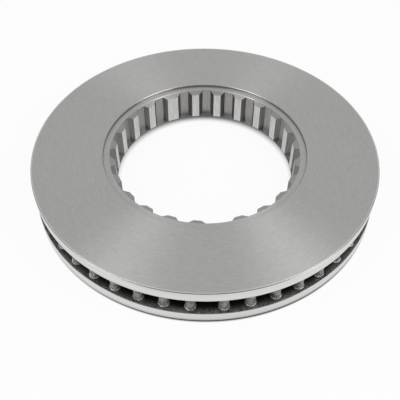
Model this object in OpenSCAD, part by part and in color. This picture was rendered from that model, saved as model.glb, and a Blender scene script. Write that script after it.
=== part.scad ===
// Ventilated brake disc for a heavy vehicle: one grey iron casting, in millimetres.
// Two friction plates are joined by staggered rows of round pillars. The upper
// plate carries the hub, whose inner rim is cut into teeth that slide over the
// splines of a wheel hub. Air enters between the hub and the lower plate.
// The disc lies flat: Z is its axis, and Z = 0 is the lower friction face.

/* [Friction plates] */
// Outer diameter of the disc
disc_d = 370; // [345:1:440]
// Thickness over the two friction faces
disc_t = 45; // [41:0.5:50]
// Thickness of each friction plate
plate_t = 12; // [10:0.5:14]
// Inner diameter of the upper friction face
face_d = 219; // [215:1:224]
// Chamfer at the outer edges of both friction faces
rim_chamfer = 0.6; // [0.4:0.1:1.6]
// Chamfer of the plates at the mouth of the vent
mouth_chamfer = 0.5; // [0.3:0.1:1]
// Chamfer at the inner edges of both friction faces
face_chamfer = 0.5; // [0.3:0.1:1]

/* [Vent pillars] */
// Diameter of a pillar
pillar_d = 9; // [7:0.5:10]
// Radius of the fillet at each end of a pillar
pillar_fillet = 2.2; // [1:0.1:3]
// Distance from the outer edge to the axes of the outermost pillars
pillar_setback = 8.7; // [8:0.1:12]
// Distance from the lower plate's inner edge to the axes of the innermost pillars
inner_setback = 13; // [10:0.5:16]
// Rows of pillars
row_count = 3; // [2:1:4]
// Pillars in each row
pillars_per_row = 44; // [30:1:46]
// Extra angle between two pillars of a row, at the joint of the sand core
core_joint = 2; // [0:0.5:3]
// Direction of that joint, counted from +X
core_joint_angle = 270.5; // [0:0.5:359.5]

/* [Hub and teeth] */
// Diameter at the roots of the grooves between the teeth
root_d = 205; // [202:1:208]
// Height of a tooth over the root
tooth_h = 5.5; // [4:0.5:7]
// Width of a tooth at its foot
tooth_foot_w = 17.4; // [14:0.2:18]
// Width of a tooth at its tip
tooth_tip_w = 8; // [7:0.2:11]
// Number of teeth, with the wide one
tooth_count = 23; // [18:1:24]
// Extra width of the one wide tooth
key_tooth_extra = 5; // [0:0.5:8]
// Extra width of the one wide groove
key_groove_extra = 16; // [0:0.5:20]
// Teeth between the wide groove and the wide tooth, counted anticlockwise
teeth_to_key = 12; // [4:1:16]
// Direction of the wide groove, counted from +X
key_groove_angle = 277.5; // [0:0.5:359.5]
// Fall of a tooth's upper end from its foot to its tip
tooth_fall = 2.3; // [1:0.1:4]
// Chamfer round the lower mouth of the toothed bore
bore_chamfer = 1; // [0.5:0.1:1.4]
// Thickness of the web that closes the grooves at their lower ends
web_t = 1.5; // [1.5:0.1:4]
// Wall of the hub behind the grooves
hub_wall = 7; // [5.5:0.5:9]
// Height of the hub's lower end over the lower friction face
hub_lift = 6; // [3:0.5:9]
// Radius of the fillet between the hub and the upper plate
hub_fillet = 4; // [2:0.5:6]

/* [Step and inlet] */
// Depth of the step inside the upper friction face
step_depth = 2.5; // [1:0.1:4]
// Chamfer from the step to the teeth
step_chamfer = 0.5; // [0.4:0.1:2]
// Width of the air inlet between the hub and the lower plate
inlet_w = 8; // [5:0.5:10]

/* [Hidden] */

$fn = 180;
// Smoothness of a pillar, and steps in each quarter round
pillar_fn = 32;
fillet_steps = 2;
// Overlap of a cut or a foot past the face that it meets
bite = 1;
// Depth by which a pillar's flare is sunk into a plate
sink = 0.3;

disc_r = disc_d / 2;
face_r = face_d / 2;
root_r = root_d / 2;
tip_r = root_r - tooth_h;
pillar_r = pillar_d / 2;
vent_low = plate_t;
vent_top = disc_t - plate_t;
vent_h = vent_top - vent_low;
step_z = disc_t - step_depth;
tooth_top = step_z - step_chamfer;
hub_r = root_r + hub_wall;
inlet_r = hub_r + inlet_w;

outer_row_r = disc_r - pillar_setback;
inner_row_r = inlet_r + inner_setback;
row_gap = (outer_row_r - inner_row_r) / (row_count - 1);
pillar_step = (360 - core_joint) / pillars_per_row;

// Angle that a width takes on the root circle
function root_angle(w) = w / root_r * 180 / PI;
key_tooth_angle = root_angle(key_tooth_extra);
tooth_step = (360 - key_tooth_angle - root_angle(key_groove_extra)) / tooth_count;
first_tooth_angle = key_groove_angle + (root_angle(key_groove_extra) + tooth_step) / 2;

// Teeth past the wide one are turned on by its extra width, and the wide one by half
function key_shift(i) = i > teeth_to_key ? key_tooth_angle
    : i == teeth_to_key ? key_tooth_angle / 2 : 0;
function tooth_angle(i) = first_tooth_angle + i * tooth_step + key_shift(i);
function tooth_extra(i) = i == teeth_to_key ? key_tooth_extra : 0;

// Points of a quarter round beside the corner (x, z), from the plate (up: 1 or -1) to the wall
function quarter_round(x, z, radius, up) = [
    for (i = [0 : fillet_steps])
        let (a = 90 * i / fillet_steps)
            [x + radius * (1 - sin(a)), z + up * radius * (1 - cos(a))]
];
function reversed(points) = [for (i = [len(points) - 1 : -1 : 0]) points[i]];

// Upper friction plate with the hub, solid as far as the tips of the teeth
module upper_plate() {
    color([0.66, 0.66, 0.65])
        rotate_extrude()
            polygon(concat(
                [
                    [disc_r - mouth_chamfer, vent_top],
                    [disc_r, vent_top + mouth_chamfer],
                    [disc_r, disc_t - rim_chamfer],
                    [disc_r - rim_chamfer, disc_t],
                    [face_r + face_chamfer, disc_t],
                    [face_r, disc_t - face_chamfer],
                    [face_r, step_z],
                    [root_r + step_chamfer, step_z],
                    [root_r, tooth_top],
                    [tip_r, tooth_top - tooth_fall],
                    [tip_r, hub_lift + bore_chamfer],
                    [tip_r + bore_chamfer, hub_lift],
                    [hub_r - bore_chamfer, hub_lift],
                    [hub_r, hub_lift + bore_chamfer]
                ],
                reversed(quarter_round(hub_r, vent_top, hub_fillet, -1))
            ));
}

// Lower friction plate, whose inner edge is rounded for the air that enters there
module lower_plate() {
    edge_r = plate_t / 3;
    color([0.64, 0.64, 0.63])
        rotate_extrude()
            polygon(concat(
                [
                    [inlet_r + face_chamfer, 0],
                    [disc_r - rim_chamfer, 0],
                    [disc_r, rim_chamfer],
                    [disc_r, vent_low - mouth_chamfer],
                    [disc_r - mouth_chamfer, vent_low]
                ],
                quarter_round(inlet_r, vent_low, edge_r, -1),
                [[inlet_r, face_chamfer]]
            ));
}

// Round pillar across the vent. The first slope of each fillet runs on into the plate.
module pillar() {
    flare = quarter_round(pillar_r, 0, pillar_fillet, 1);
    run_on = sink * (flare[0][0] - flare[1][0]) / flare[1][1];
    foot = concat(
        [[0, -sink], [flare[0][0] + run_on, -sink]],
        [for (i = [1 : fillet_steps]) flare[i]]
    );
    head = [for (p = reversed(foot)) [p[0], vent_h - p[1]]];
    color([0.5, 0.5, 0.49])
        rotate_extrude($fn = pillar_fn)
            polygon(concat(foot, head));
}

// Rows of pillars, each turned by half a step from the one outside it
module pillars() {
    for (row = [0 : row_count - 1], i = [0 : pillars_per_row - 1])
        let (stagger = (row % 2) * pillar_step / 2)
            rotate(core_joint_angle + (core_joint + pillar_step) / 2 + i * pillar_step - stagger)
                translate([outer_row_r - row * row_gap, 0, vent_low])
                    pillar();
}

// Outline of one tooth that points to the axis, as a prism of the full tooth length
module tooth_prism(extra) {
    foot = (tooth_foot_w + extra) / 2;
    tip = (tooth_tip_w + extra) / 2;
    foot_x = sqrt(root_r * root_r - foot * foot);
    slope = (foot - tip) / (foot_x - tip_r);
    linear_extrude(disc_t)
        polygon([
            [root_r + bite, foot],
            [foot_x, foot],
            [tip_r - bite, tip - bite * slope],
            [tip_r - bite, bite * slope - tip],
            [foot_x, -foot],
            [root_r + bite, -foot]
        ]);
}

// Space of all the grooves, which run from the step down to the web
module grooves() {
    color([0.55, 0.55, 0.54])
        translate([0, 0, hub_lift + web_t])
            difference() {
                cylinder(r = root_r, h = disc_t);
                for (i = [0 : tooth_count - 1])
                    rotate(tooth_angle(i))
                        tooth_prism(tooth_extra(i));
            }
}

module brake_disc() {
    difference() {
        union() {
            upper_plate();
            lower_plate();
            pillars();
        }
        grooves();
    }
}

brake_disc();
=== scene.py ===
import math

import bmesh
import bpy
import numpy as np
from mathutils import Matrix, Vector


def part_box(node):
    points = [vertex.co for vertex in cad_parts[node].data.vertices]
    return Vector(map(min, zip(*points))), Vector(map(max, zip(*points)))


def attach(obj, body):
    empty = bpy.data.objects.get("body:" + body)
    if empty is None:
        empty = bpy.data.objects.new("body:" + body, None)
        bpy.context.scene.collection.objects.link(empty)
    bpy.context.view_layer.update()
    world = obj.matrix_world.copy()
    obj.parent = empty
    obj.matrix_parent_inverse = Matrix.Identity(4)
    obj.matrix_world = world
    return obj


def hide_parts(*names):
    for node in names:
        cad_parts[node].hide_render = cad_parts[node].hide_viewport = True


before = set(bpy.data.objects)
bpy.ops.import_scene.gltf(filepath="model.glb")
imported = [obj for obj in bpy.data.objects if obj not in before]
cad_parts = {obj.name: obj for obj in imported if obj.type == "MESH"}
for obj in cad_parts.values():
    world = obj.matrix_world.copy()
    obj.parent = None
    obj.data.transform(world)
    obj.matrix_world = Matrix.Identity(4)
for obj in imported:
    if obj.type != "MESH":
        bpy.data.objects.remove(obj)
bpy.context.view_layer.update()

# Metres. The disc lies flat, Z is its axis, and its lower friction face is at Z = 0.
nodeLow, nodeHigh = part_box("brake_disc")
discRadius = (nodeHigh.x - nodeLow.x) / 2
discHeight = nodeHigh.z

mergeDistance = 2e-6         # points nearer than this become one


# Mesh helpers

def roundCorners(corners, steps):
    # Corners are (radius, height, reach). Each becomes a quadratic curve that starts and ends
    # at its reach from the corner, on the two edges that meet there. The outline is closed.
    corners = np.array(corners)
    here = corners[:, None, :2]
    reach = corners[:, None, 2:]
    before = np.roll(here, 1, axis=0) - here
    after = np.roll(here, -1, axis=0) - here
    start = here + before / np.linalg.norm(before, axis=2, keepdims=True) * reach
    end = here + after / np.linalg.norm(after, axis=2, keepdims=True) * reach
    t = np.linspace(0, 1, steps + 1)[None, :, None]
    curve = (1 - t) ** 2 * start + 2 * t * (1 - t) * here + t ** 2 * end
    return curve.reshape(-1, 2)


def revolved(radius, height, angle):
    # Cylinder coordinates to points: x = radius cos(angle), y = radius sin(angle), z = height
    radius, height, angle = np.broadcast_arrays(radius, height, angle)
    return np.stack([radius * np.cos(angle), radius * np.sin(angle), height], axis=-1)


def gridFaces(rows, columns, closedRows):
    # Four corners of each cell of a grid of points. Columns always close on the first.
    row = np.arange(rows if closedRows else rows - 1)[:, None]
    column = np.arange(columns)[None, :]
    nextRow = (row + 1) % rows
    nextColumn = (column + 1) % columns
    cells = np.stack([row * columns + column, row * columns + nextColumn,
                      nextRow * columns + nextColumn, nextRow * columns + column], axis=-1)
    return cells.reshape(-1, 4)


def makePiece(name, points, faces, finishes, finishIndex, sharpAngle):
    mesh = bpy.data.meshes.new(name)
    mesh.from_pydata(points.reshape(-1, 3).tolist(), [], faces.tolist())
    mesh.polygons.foreach_set("material_index", finishIndex.astype(np.int32).ravel())
    for finish in finishes:
        mesh.materials.append(finish)
    work = bmesh.new()
    work.from_mesh(mesh)
    bmesh.ops.remove_doubles(work, verts=work.verts, dist=mergeDistance)
    bmesh.ops.recalc_face_normals(work, faces=work.faces)
    work.to_mesh(mesh)
    work.free()
    mesh.shade_smooth()
    mesh.set_sharp_from_angle(angle=sharpAngle)
    piece = bpy.data.objects.new(name, mesh)
    bpy.context.scene.collection.objects.link(piece)
    weighted = piece.modifiers.new("flatFaces", "WEIGHTED_NORMAL")
    weighted.keep_sharp = True
    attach(piece, "root")
    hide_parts("brake_disc")
    return piece


# Material helpers

def addNode(tree, kind, inputs=None, **settings):
    node = tree.nodes.new(kind)
    for key, value in settings.items():
        setattr(node, key, value)
    for key, value in (inputs or {}).items():
        if isinstance(value, bpy.types.NodeSocket):
            tree.links.new(value, node.inputs[key])
        else:
            node.inputs[key].default_value = value
    return node


def newFinish(name):
    finish = bpy.data.materials.new(name)
    finish.use_nodes = True
    tree = finish.node_tree
    return finish, tree, tree.nodes["Principled BSDF"]


def objectPoint(tree):
    return addNode(tree, "ShaderNodeTexCoord").outputs["Object"]


def worked(tree, operation, *values):
    # Result of a math node on one or two values
    return addNode(tree, "ShaderNodeMath", dict(enumerate(values)), operation=operation).outputs[0]


def stretched(tree, point, scale):
    return addNode(tree, "ShaderNodeVectorMath", {0: point, 1: scale}, operation="MULTIPLY").outputs[0]


def axisDistance(tree, point):
    flat = stretched(tree, point, (1, 1, 0))
    return addNode(tree, "ShaderNodeVectorMath", {0: flat}, operation="LENGTH").outputs["Value"]


def mapped(tree, value, source, target=(0.0, 1.0), **settings):
    # The value carried from the source range to the target range, and kept inside that
    inputs = {"Value": value, "From Min": source[0], "From Max": source[1],
              "To Min": target[0], "To Max": target[1]}
    return addNode(tree, "ShaderNodeMapRange", inputs, **settings).outputs[0]


def noise(tree, point, scale, detail, roughness):
    inputs = {"Vector": point, "Scale": scale, "Detail": detail, "Roughness": roughness}
    return addNode(tree, "ShaderNodeTexNoise", inputs).outputs["Fac"]


def mottled(tree, value, settings):
    # Brightness from a noise value. The noise within reach of 0.5 spans the whole brightness.
    source = (0.5 - settings["noiseReach"], 0.5 + settings["noiseReach"])
    return mapped(tree, value, source, (settings["colorLow"], settings["colorHigh"]))


def shadedColor(tree, color, brightness):
    # The colour times a brightness that changes over the surface
    red, green, blue = (worked(tree, "MULTIPLY", brightness, part) for part in color)
    return addNode(tree, "ShaderNodeCombineColor", {"Red": red, "Green": green, "Blue": blue}).outputs[0]


def bump(tree, height, strength, depth):
    inputs = {"Height": height, "Strength": strength, "Distance": depth}
    return addNode(tree, "ShaderNodeBump", inputs).outputs["Normal"]


def dressShader(tree, shader, color, normal, settings):
    # What the finishes have in common
    tree.links.new(color, shader.inputs["Base Color"])
    tree.links.new(normal, shader.inputs["Normal"])
    shader.inputs["Metallic"].default_value = settings["metallic"]
    shader.inputs["Roughness"].default_value = settings["roughness"]


# Finishes

turnedSettings = {
    "color": (0.60, 0.595, 0.58),
    "metallic": 1.0,
    "roughness": 0.37,
    "anisotropic": 0.9,
    "glossTurn": 0.25,       # a quarter turn, so that the gloss spreads across the lines
    "lineScale": 900,        # lines to the metre across the face
    "driftScale": 150,       # how fast a line changes as it runs round
    "lineDetail": 3.0,
    "lineRoughness": 0.65,
    "lineDepth": 0.00004,
    "lineStrength": 0.25,
    "noiseReach": 0.2,
    "colorLow": 0.90,
    "colorHigh": 1.07,
}

rimSettings = {
    **turnedSettings,
    "color": (0.72, 0.715, 0.70),
    "roughness": 0.36,
    "anisotropic": 0.4,
    "lineScale": 500,
    "driftScale": 10,
    "lineDepth": 0.00005,
    "lineStrength": 0.3,
    "colorLow": 0.88,
    "colorHigh": 1.06,
}

brightEdgeSettings = {
    **rimSettings,
    "color": (0.52, 0.516, 0.505),
    "roughness": 0.24,
    "anisotropic": 0.0,
    "lineStrength": 0.0,
}

# painted shade: the rim's chamfers are coloured darker than the rim, so that they show a dark line where no
# lamp lights them
shadedRimEdgeSettings = {
    **brightEdgeSettings,
    "color": (0.40, 0.396, 0.387),
    "roughness": 0.28,
}

narrowColors = {             # turned surfaces that differ from the face in colour alone
    # painted highlight: a pale ring at the outer edge of the upper face
    "faceLineHighlight": (0.85, 0.843, 0.826),
    # painted shade: the step wall at the inner edge of the face is coloured dark
    "stepWallShade": (0.32, 0.316, 0.307),
    "toothTop": (0.47, 0.465, 0.452),
}


def turnedFinish(name, settings):
    # Fine lines that run round the axis, on flat faces and on the rim alike
    finish, tree, shader = newFinish(name)
    point = objectPoint(tree)
    height = addNode(tree, "ShaderNodeSeparateXYZ", {0: point}).outputs["Z"]
    across = worked(tree, "ADD", axisDistance(tree, point), height)
    lines = addNode(tree, "ShaderNodeTexNoise", {
        "Vector": stretched(tree, point, (settings["driftScale"],) * 3),
        "W": worked(tree, "MULTIPLY", across, settings["lineScale"]),
        "Scale": 1.0,
        "Detail": settings["lineDetail"],
        "Roughness": settings["lineRoughness"],
    }, noise_dimensions="4D").outputs["Fac"]
    color = shadedColor(tree, settings["color"], mottled(tree, lines, settings))
    normal = bump(tree, lines, settings["lineStrength"], settings["lineDepth"])
    dressShader(tree, shader, color, normal, settings)
    tangent = addNode(tree, "ShaderNodeTangent", direction_type="RADIAL", axis="Z").outputs[0]
    tree.links.new(tangent, shader.inputs["Tangent"])
    shader.inputs["Anisotropic"].default_value = settings["anisotropic"]
    shader.inputs["Anisotropic Rotation"].default_value = settings["glossTurn"]
    return finish


broachedSettings = {
    "metallic": 0.95,
    "roughness": 0.42,
    "lineScale": 2200,       # lines to the metre round the bore
    "lineLength": 0.03,      # a line's width as a share of its length
    "lineDetail": 3.0,
    "lineRoughness": 0.6,
    "lineDepth": 0.00006,
    "lineStrength": 0.35,
    "noiseReach": 0.2,
    "colorLow": 0.72,
    "colorHigh": 1.18,
}

broachedColors = {
    "toothTip": (0.60, 0.595, 0.58),
    # painted highlight: the teeth's rounded edges are coloured paler than the tips
    "toothEdgeHighlight": (0.72, 0.715, 0.70),
    "toothRoot": (0.33, 0.326, 0.318),
    # painted shade: the flanks are coloured dark for the shade and dark reflections between the teeth
    "shadedToothFlank": (0.19, 0.187, 0.18),
}


def broachedFinish(name, color, settings):
    # Fine lines along the axis, as a broach or a cutter leaves them
    finish, tree, shader = newFinish(name)
    long = stretched(tree, objectPoint(tree), (1, 1, settings["lineLength"]))
    lines = noise(tree, long, settings["lineScale"], settings["lineDetail"], settings["lineRoughness"])
    normal = bump(tree, lines, settings["lineStrength"], settings["lineDepth"])
    dressShader(tree, shader, shadedColor(tree, color, mottled(tree, lines, settings)), normal, settings)
    return finish


castSettings = {
    "metallic": 0.3,
    "roughness": 0.6,
    "grainScale": 850,       # sand grains to the metre
    "grainDetail": 3.0,
    "grainRoughness": 0.7,
    "grainShare": 0.7,       # shares of the grains and the patches in the colour
    "patchShare": 0.3,
    "patchScale": 120,
    "patchDetail": 2.0,
    "patchRoughness": 0.5,
    "grainDepth": 0.0005,
    "grainStrength": 0.9,
    "noiseReach": 0.1,
    "colorLow": 0.25,
    "colorHigh": 1.75,
    "paintedShadeLevel": 0.01,       # brightness where the vent is darkest
}

# Colour, and the distances from the axis at which the painted shade is darkest and the skin has its full
# colour. The hub's lie inside the bore, so that it gets no painted shade.
castSkins = {
    "castSkin": ((0.20, 0.196, 0.19), (0.176, 0.187)),
    "hubSkin": ((0.30, 0.295, 0.285), (0.0, 0.001)),
}

# painted shade: both pillar skins darken towards the inner rows, deeper in the vent
pillarSkins = {
    "pillarSkin": ((0.31, 0.305, 0.295), (0.162, 0.178)),
    # painted highlight: the pale foot colour, for the light the fillets catch
    "pillarFootHighlight": ((0.68, 0.67, 0.655), (0.162, 0.178)),
}


def castFinish(name, color, dark, settings):
    # Rough skin left by the sand core: small grains over wider dark and pale patches, with painted shade that
    # darkens the skin towards the axis, deep in the vent
    finish, tree, shader = newFinish(name)
    point = objectPoint(tree)
    grains = noise(tree, point, settings["grainScale"], settings["grainDetail"], settings["grainRoughness"])
    patches = noise(tree, point, settings["patchScale"], settings["patchDetail"], settings["patchRoughness"])
    mixed = worked(tree, "ADD", worked(tree, "MULTIPLY", grains, settings["grainShare"]),
                   worked(tree, "MULTIPLY", patches, settings["patchShare"]))
    # painted shade: the skin darkens towards the axis, deep inside the vent where the plates shade it
    paintedShade = mapped(tree, axisDistance(tree, point), dark, (settings["paintedShadeLevel"], 1.0),
                     interpolation_type="SMOOTHSTEP")
    brightness = worked(tree, "MULTIPLY", mottled(tree, mixed, settings), paintedShade)
    normal = bump(tree, grains, settings["grainStrength"], settings["grainDepth"])
    dressShader(tree, shader, shadedColor(tree, color, brightness), normal, settings)
    return finish


plateFinishes = [
    turnedFinish("turnedFace", turnedSettings),
    turnedFinish("turnedRim", rimSettings),
    turnedFinish("brightEdge", brightEdgeSettings),
    turnedFinish("shadedRimEdge", shadedRimEdgeSettings),
    *[turnedFinish(name, {**turnedSettings, "color": color}) for name, color in narrowColors.items()],
    *[broachedFinish(name, color, broachedSettings) for name, color in broachedColors.items()],
    *[castFinish(name, color, dark, castSettings) for name, (color, dark) in castSkins.items()],
]
pillarFinishes = [castFinish(name, color, dark, castSettings) for name, (color, dark) in pillarSkins.items()]
finishOf = {finish.name: index for index, finish in enumerate(plateFinishes)}
print("finishes ready:", ", ".join(finish.name for finish in plateFinishes + pillarFinishes))


# Upper plate with the hub and its teeth

plateSettings = {
    "thickness": 0.012,
    "rimChamfer": 0.0006,
    "mouthChamfer": 0.0005,
    "faceChamfer": 0.0005,
    "edgeRound": 0.00025,    # small round on each machined edge
    # width of the painted highlight ring at the outer edge of the upper face
    "paintedHighlightWidth": 0.0010,    # width of the bright line at the outer edge of the upper face
    "roundSteps": 3,
    "sharpAngle": math.radians(38),
}

hubSettings = {
    "rootRadius": 0.1025,
    "wall": 0.007,
    "lift": 0.006,           # lower end of the hub over the lower friction face
    "fillet": 0.004,
    "boreChamfer": 0.001,
    "faceRadius": 0.1095,    # inner edge of the upper friction face
    "stepDepth": 0.0025,
    "stepChamfer": 0.0005,
    "inlet": 0.008,          # air gap between the hub and the lower plate
}

toothSettings = {
    "count": 23,
    "height": 0.0055,
    "footWidth": 0.0174,
    "tipWidth": 0.008,
    "fall": 0.0023,
    "wideTooth": 12,         # its place, counted anticlockwise from the wide groove
    "wideToothExtra": 0.005,
    "wideGrooveExtra": 0.016,
    "wideGrooveAngle": math.radians(277.5),
    "web": 0.0015,
    "edgeBreak": 0.0003,     # worn edge round the tops and tips
    "bendShare": 0.3,        # share of a top's worn edge at which its two facets meet
    "footRound": 0.0005,
    "arcPoints": 4,          # points on half of a tip or a groove, and on a flank
}

ventTop = discHeight - plateSettings["thickness"]
ventLow = plateSettings["thickness"]
rootRadius = hubSettings["rootRadius"]
tipRadius = rootRadius - toothSettings["height"]
hubRadius = rootRadius + hubSettings["wall"]
stepHeight = discHeight - hubSettings["stepDepth"]
topHeight = stepHeight - hubSettings["stepChamfer"]
webTop = hubSettings["lift"] + toothSettings["web"]


def smoothCorner(corner, start, end):
    # Middle of the quadratic curve from start to end that bends at the corner
    return corner / 2 + (start + end) / 4


def halfTooth(halfFoot, halfTip, grooveMiddle):
    # Outline from a tooth's middle to the middle of the groove beside it, as complex numbers
    # x + iy with x along the tooth: tip arc, rounded tip corner, straight flank, rounded foot, root arc.
    foot = np.sqrt(rootRadius ** 2 - halfFoot ** 2) + 1j * halfFoot
    slope = tipRadius + 1j * halfTip - foot
    along = (foot * slope.conj()).real
    excess = np.abs(foot) ** 2 - tipRadius ** 2
    size = np.abs(slope) ** 2
    tip = foot + slope * (-along - np.sqrt(along ** 2 - size * excess)) / size
    unit = slope / np.abs(slope)
    tipReach = toothSettings["edgeBreak"]
    footReach = toothSettings["footRound"]
    tipStart = np.angle(tip) - tipReach / tipRadius
    rootStart = np.angle(foot) + footReach / rootRadius
    share = np.linspace(0, 1, toothSettings["arcPoints"])
    tipArc = tipRadius * np.exp(1j * tipStart * share)
    flankTop = tip - unit * tipReach
    flankFoot = foot + unit * footReach
    flank = flankTop + (flankFoot - flankTop) * share
    rootArc = rootRadius * np.exp(1j * (rootStart + (grooveMiddle - rootStart) * share))
    return np.hstack([tipArc, smoothCorner(tip, tipArc[:, -1:], flankTop), flank,
                      smoothCorner(foot, flankFoot, rootArc[:, :1]), rootArc])


def toothColumns():
    # Angle and radius of each column of the bore, and the kind of surface between it and the next
    number = np.arange(toothSettings["count"])
    wide = number == toothSettings["wideTooth"]
    toothTurn = toothSettings["wideToothExtra"] / rootRadius
    grooveTurn = toothSettings["wideGrooveExtra"] / rootRadius
    step = (2 * math.pi - toothTurn - grooveTurn) / toothSettings["count"]
    shift = np.where(number > toothSettings["wideTooth"], toothTurn, wide * toothTurn / 2)
    middle = toothSettings["wideGrooveAngle"] + (grooveTurn + step) / 2 + number * step + shift
    extra = (wide * toothSettings["wideToothExtra"])[:, None]
    halfFoot = (toothSettings["footWidth"] + extra) / 2
    halfTip = (toothSettings["tipWidth"] + extra) / 2
    gap = np.diff(np.append(middle, middle[0] + 2 * math.pi))
    spread = np.arcsin(halfFoot / rootRadius)[:, 0]
    after = spread + (gap - spread - np.roll(spread, -1)) / 2
    before = gap - after
    left = halfTooth(halfFoot, halfTip, after[:, None])
    right = halfTooth(halfFoot, halfTip, np.roll(before, 1)[:, None])
    outline = np.hstack([right.conj()[:, :0:-1], left[:, :-1]])
    angle = np.angle(outline) + middle[:, None]
    radius = np.abs(outline)
    # The two cells of the rounded corner at the tip are the tooth's edge, coloured pale as a painted
    # highlight. Of the two at the foot, one belongs to the flank and one to the root.
    arc = toothSettings["arcPoints"]
    halfKinds = ["toothTip"] * (arc - 1) + ["toothEdgeHighlight"] * 2 + ["shadedToothFlank"] * arc + ["toothRoot"] * arc
    halfKinds = [finishOf[name] for name in halfKinds]
    kinds = np.tile(halfKinds[::-1] + halfKinds, (toothSettings["count"], 1))
    return angle.ravel(), radius.ravel(), kinds.ravel()


def roundedProfile(corners):
    # Outline of a plate through its rounded corners, and the finish that follows each point
    steps = plateSettings["roundSteps"]
    finish = [finishOf[corner[3]] for corner in corners]
    return roundCorners([corner[:3] for corner in corners], steps), np.repeat(finish, steps + 1)


def upperPlate():
    plate, hub = plateSettings, hubSettings
    edge = plate["edgeRound"]
    # Radius, height, reach of its round, and the finish of the surface that follows
    corners = [
        (rootRadius, topHeight, 0, "brightEdge"),
        (rootRadius + hub["stepChamfer"], stepHeight, edge / 2, "turnedFace"),
        (hub["faceRadius"], stepHeight, edge, "stepWallShade"),
        (hub["faceRadius"], discHeight - plate["faceChamfer"], edge / 2, "brightEdge"),
        (hub["faceRadius"] + plate["faceChamfer"], discHeight, edge / 2, "turnedFace"),
        (discRadius - plate["rimChamfer"] - plate["paintedHighlightWidth"], discHeight, 0, "faceLineHighlight"),
        (discRadius - plate["rimChamfer"], discHeight, edge / 2, "shadedRimEdge"),
        (discRadius, discHeight - plate["rimChamfer"], edge / 2, "turnedRim"),
        (discRadius, ventTop + plate["mouthChamfer"], edge / 2, "shadedRimEdge"),
        (discRadius - plate["mouthChamfer"], ventTop, edge / 2, "castSkin"),
        (hubRadius, ventTop, hub["fillet"], "hubSkin"),
        (hubRadius, hub["lift"], hub["boreChamfer"], "hubSkin"),
        # painted shade: the hub's lower chamfer takes the dark flank colour
        (tipRadius + hub["boreChamfer"], hub["lift"], edge, "shadedToothFlank"),
        (tipRadius, hub["lift"] + hub["boreChamfer"] / 2, 0, "shadedToothFlank"),
    ]
    profile, profileFinish = roundedProfile(corners)
    angle, outline, kinds = toothColumns()
    edgeBreak = toothSettings["edgeBreak"]
    bend = toothSettings["bendShare"]
    inset = np.minimum(edgeBreak, rootRadius - outline)
    # The top of a tooth is a cone: it falls evenly from the root circle to the tip circle.
    fallRate = toothSettings["fall"] / toothSettings["height"]
    top = topHeight - (rootRadius - outline) * fallRate
    even = np.ones_like(outline)
    boreRadius = np.stack([
        tipRadius * even,
        np.minimum(tipRadius + edgeBreak, outline),
        outline,
        outline,
        outline + inset * bend,
        outline + inset,
    ])
    boreHeight = np.stack([
        (webTop - edgeBreak) * even,
        webTop * even,
        webTop * even,
        top - edgeBreak,
        top - edgeBreak * bend + inset * bend * fallRate,
        top + inset * fallRate,
    ])
    web = np.full_like(kinds, finishOf["toothTip"])
    # painted shade: the web's edge takes the dark flank colour; the web itself takes the tip colour
    webEdge = np.full_like(kinds, finishOf["shadedToothFlank"])
    boreFinish = np.stack([webEdge, web, kinds, kinds, kinds, np.full_like(kinds, finishOf["toothTop"])])
    columns = len(angle)
    radius = np.vstack([boreRadius, np.repeat(profile[:, :1], columns, axis=1)])
    height = np.vstack([boreHeight, np.repeat(profile[:, 1:], columns, axis=1)])
    finish = np.vstack([boreFinish, np.repeat(profileFinish[:, None], columns, axis=1)])
    points = revolved(radius, height, angle[None, :])
    faces = gridFaces(len(points), columns, True)
    return makePiece("upper_plate", points, faces, plateFinishes, finish, plate["sharpAngle"])


upper = upperPlate()
print("upper plate with", toothSettings["count"], "teeth:", len(upper.data.polygons), "faces")


# Lower plate

lowerSettings = {
    "columns": 480,
    "inletRound": 0.004,     # rounded edge where the air enters
}


def lowerPlate():
    plate = plateSettings
    edge = plate["edgeRound"]
    innerRadius = hubRadius + hubSettings["inlet"]
    corners = [
        (innerRadius + plate["faceChamfer"], 0, edge / 2, "turnedFace"),
        (discRadius - plate["rimChamfer"], 0, edge, "turnedRim"),
        (discRadius, plate["rimChamfer"], edge, "turnedRim"),
        (discRadius, ventLow - plate["mouthChamfer"], edge / 2, "shadedRimEdge"),
        (discRadius - plate["mouthChamfer"], ventLow, edge / 2, "castSkin"),
        (innerRadius, ventLow, lowerSettings["inletRound"], "hubSkin"),
        (innerRadius, plate["faceChamfer"], edge / 2, "hubSkin"),
    ]
    profile, finish = roundedProfile(corners)
    angle = np.linspace(0, 2 * math.pi, lowerSettings["columns"], endpoint=False)
    points = revolved(profile[:, :1], profile[:, 1:], angle[None, :])
    faces = gridFaces(len(points), len(angle), True)
    finishIndex = np.repeat(finish, len(angle))
    return makePiece("lower_plate", points, faces, plateFinishes, finishIndex, plate["sharpAngle"])


lower = lowerPlate()
print("lower plate:", len(lower.data.polygons), "faces")


# Vent pillars

pillarSettings = {
    "radius": 0.0045,
    "fillet": 0.0012,
    "setback": 0.0087,       # from the disc's edge to the outer row's axes
    "innerSetback": 0.013,   # from the lower plate's inner edge to the inner row's axes
    "rows": 3,
    "perRow": 44,
    "jointExtra": math.radians(2),
    "jointAngle": math.radians(270.5),
    "sink": 0.0003,          # part of each end that lies inside a plate
    "sides": 28,
    "filletSteps": 5,
    # painted highlight: how many fillet steps at each foot are coloured pale, and how far round they reach
    "highlightSteps": 2,          # of them, the bright ones at the foot
    "highlightCosine": 0.35,      # cosine of the angle from the outward direction at which they end
    "sharpAngle": math.radians(60),
}


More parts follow.
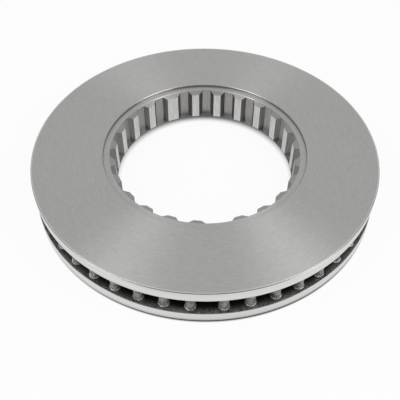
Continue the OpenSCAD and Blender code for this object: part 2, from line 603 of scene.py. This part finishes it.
def ventPillars():
    sizes = pillarSettings
    innerRow = hubRadius + hubSettings["inlet"] + sizes["innerSetback"]
    row = np.linspace(discRadius - sizes["setback"], innerRow, sizes["rows"])[:, None]
    step = (2 * math.pi - sizes["jointExtra"]) / sizes["perRow"]
    turn = sizes["jointAngle"] + (sizes["jointExtra"] + step) / 2 + np.arange(sizes["perRow"])[None, :] * step
    turn = turn - (np.arange(sizes["rows"]) % 2)[:, None] * step / 2
    # Half of the outline: inside the plate, then a quarter circle from the plate to the wall
    quarter = np.linspace(0, math.pi / 2, sizes["filletSteps"] + 1)
    footRadius = sizes["radius"] + sizes["fillet"] * (1 - np.sin(quarter))
    footHeight = sizes["fillet"] * (1 - np.cos(quarter))
    halfRadius = np.concatenate([[0, footRadius[0]], footRadius])
    halfHeight = np.concatenate([[-sizes["sink"], -sizes["sink"]], footHeight])
    radius = np.concatenate([halfRadius, halfRadius[::-1]])
    height = np.concatenate([ventLow + halfHeight, ventTop - halfHeight[::-1]])
    side = np.linspace(0, 2 * math.pi, sizes["sides"], endpoint=False)
    pillar = revolved(radius[:, None], height[:, None], side[None, :])
    centre = revolved(row, 0.0, turn).reshape(-1, 1, 1, 3)
    points = pillar[None] + centre
    one = gridFaces(len(radius), sizes["sides"], False)
    start = np.arange(len(centre))[:, None, None] * len(radius) * sizes["sides"]
    faces = (one[None] + start).reshape(-1, 4)
    # The first cells of the lower fillet, which follow the two rows of the closed end, get a painted
    # highlight on the side that faces the mouth of the vent.
    cell = np.arange(len(radius) - 1)
    highlighted = (cell >= 2) & (cell < 2 + sizes["highlightSteps"])
    outward = np.cos(side + math.pi / sizes["sides"] - turn.reshape(-1, 1)) > sizes["highlightCosine"]
    finishIndex = highlighted[None, :, None] & outward[:, None, :]
    return makePiece("vent_pillars", points, faces, pillarFinishes, finishIndex, sizes["sharpAngle"])


pillars = ventPillars()
print("vent pillars:", len(pillars.data.polygons), "faces")


# Floor, world, lamps and camera

studioSettings = {
    "floorSize": 6.0,
    "floorDrop": 0.0001,                    # keeps the floor clear of the disc's lower face
    "floorColor": (0.93, 0.93, 0.93, 1),
    # painted shadow: the floor is coloured dark under the disc and along its contact line, and glows less
    # there
    "paintedShadowColor": (0.12, 0.12, 0.12, 1),    # the floor under the disc and at its contact line
    "floorGlow": 0.92,                      # share of plain white that the camera and gloss see
    "shadeInside": (0.1055, 0.0945),        # distances from the axis over which the floor gets paler
    "shadeOutside": (0.1828, 0.1846),
    "shadeShift": (-0.0003, 0.0026, 0),     # moves the outer edge of the shade to the front
    "worldRise": (0.0, 0.8),                # upward part of a direction, from the side to the top
    "worldSide": 0.68,
    "worldTop": 0.62,
    "worldOpening": (-0.8, -0.4),           # backward part, from the tent's open side to its wall
    "worldFront": 0.4,                      # the open side as a share of the wall
    "worldSpread": (0.0, 0.9),              # sideways part, from the middle to the flanks
    "worldMiddle": 1.08,                    # shares of the tent there
    "worldFlanks": 0.75,
    "lampHeight": 1.6,
    "lampWidth": 0.7,
    "lampDistance": 1.6,
    "lampElevation": math.radians(38),
    "lampAzimuths": (math.radians(-28), math.radians(213)),
    "lampPowers": (8.1, 6.9),
}


def seenDirectly(tree):
    # 1 for camera and glossy rays, else 0
    path = addNode(tree, "ShaderNodeLightPath").outputs
    return worked(tree, "MAXIMUM", path["Is Camera Ray"], path["Is Glossy Ray"])


def makeFloor(settings):
    size = settings["floorSize"] / 2
    low = -settings["floorDrop"]
    mesh = bpy.data.meshes.new("floor")
    mesh.from_pydata([(-size, -size, low), (size, -size, low), (size, size, low), (-size, size, low)],
                     [], [(0, 1, 2, 3)])
    paper = bpy.data.materials.new("floorPaper")
    paper.use_nodes = True
    tree = paper.node_tree
    tree.nodes.clear()
    point = objectPoint(tree)
    # painted shadow: colour and glow fade to the shadow colour under the disc and at its contact line
    moved = addNode(tree, "ShaderNodeVectorMath", {0: point, 1: settings["shadeShift"]}, operation="ADD")
    inside = mapped(tree, axisDistance(tree, point), settings["shadeInside"])
    outside = mapped(tree, axisDistance(tree, moved.outputs[0]), settings["shadeOutside"])
    clear = worked(tree, "MAXIMUM", inside, outside)
    color = addNode(tree, "ShaderNodeMix", {0: clear, 6: settings["paintedShadowColor"], 7: settings["floorColor"]},
                    data_type="RGBA").outputs[2]
    matte = addNode(tree, "ShaderNodeBsdfDiffuse", {"Color": color}).outputs[0]
    glow = addNode(tree, "ShaderNodeEmission", {"Strength": 1.0}).outputs[0]
    seen = worked(tree, "MULTIPLY", seenDirectly(tree), settings["floorGlow"])
    share = worked(tree, "MULTIPLY", seen, clear)
    mixed = addNode(tree, "ShaderNodeMixShader", {0: share, 1: matte, 2: glow}).outputs[0]
    addNode(tree, "ShaderNodeOutputMaterial", {"Surface": mixed})
    mesh.materials.append(paper)
    floor = bpy.data.objects.new("floor", mesh)
    bpy.context.scene.collection.objects.link(floor)
    return floor


def makeWorld(settings):
    # A tent that is pale at the horizon, greyer overhead and darker at its open side. The camera
    # itself sees plain white past the floor.
    world = bpy.data.worlds.new("studio")
    bpy.context.scene.world = world
    world.use_nodes = True
    tree = world.node_tree
    tree.nodes.clear()
    direction = addNode(tree, "ShaderNodeTexCoord").outputs["Generated"]
    parts = addNode(tree, "ShaderNodeSeparateXYZ", {0: direction}).outputs
    openSide = mapped(tree, parts["Y"], settings["worldOpening"], (settings["worldFront"], 1.0))
    level = mapped(tree, parts["Z"], settings["worldRise"], (settings["worldSide"], settings["worldTop"]))
    aside = worked(tree, "ABSOLUTE", parts["X"])
    flanks = mapped(tree, aside, settings["worldSpread"], (settings["worldMiddle"], settings["worldFlanks"]))
    strength = worked(tree, "MULTIPLY", worked(tree, "MULTIPLY", level, openSide), flanks)
    white = (1, 1, 1, 1)
    tent = addNode(tree, "ShaderNodeBackground", {"Color": white, "Strength": strength}).outputs[0]
    plain = addNode(tree, "ShaderNodeBackground", {"Color": white, "Strength": 1.0}).outputs[0]
    camera = addNode(tree, "ShaderNodeLightPath").outputs["Is Camera Ray"]
    mixed = addNode(tree, "ShaderNodeMixShader", {0: camera, 1: tent, 2: plain}).outputs[0]
    addNode(tree, "ShaderNodeOutputWorld", {"Surface": mixed})


def makeLamps(settings):
    lift = settings["lampElevation"]
    away = settings["lampDistance"] * math.cos(lift)
    for number, (azimuth, power) in enumerate(zip(settings["lampAzimuths"], settings["lampPowers"])):
        light = bpy.data.lights.new(f"softbox{number}", "AREA")
        light.shape = "RECTANGLE"
        light.size = settings["lampHeight"]
        light.size_y = settings["lampWidth"]
        light.energy = power
        lamp = bpy.data.objects.new(light.name, light)
        lamp.location = (away * math.cos(azimuth), away * math.sin(azimuth),
                         settings["lampDistance"] * math.sin(lift))
        lamp.rotation_euler = (0, math.pi / 2 - lift, azimuth)
        bpy.context.scene.collection.objects.link(lamp)


cameraSettings = {
    "elevation": math.radians(48.506),
    "distance": 0.62992,
    "lens": 53.87,
    "sensorWidth": 36,
    "target": (-0.0052, -0.05217, 0.01936),
}


def makeCamera(settings):
    data = bpy.data.cameras.new("photoView")
    data.lens = settings["lens"]
    data.sensor_width = settings["sensorWidth"]
    camera = bpy.data.objects.new("photoView", data)
    x, y, z = settings["target"]
    lift = settings["elevation"]
    back = settings["distance"] * math.cos(lift)
    camera.location = (x, y - back, z + settings["distance"] * math.sin(lift))
    camera.rotation_euler = (math.pi / 2 - lift, 0, 0)
    bpy.context.scene.collection.objects.link(camera)
    bpy.context.scene.camera = camera


makeFloor(studioSettings)
makeWorld(studioSettings)
makeLamps(studioSettings)
makeCamera(cameraSettings)
bpy.context.scene.view_settings.view_transform = "Standard"
print("studio ready")
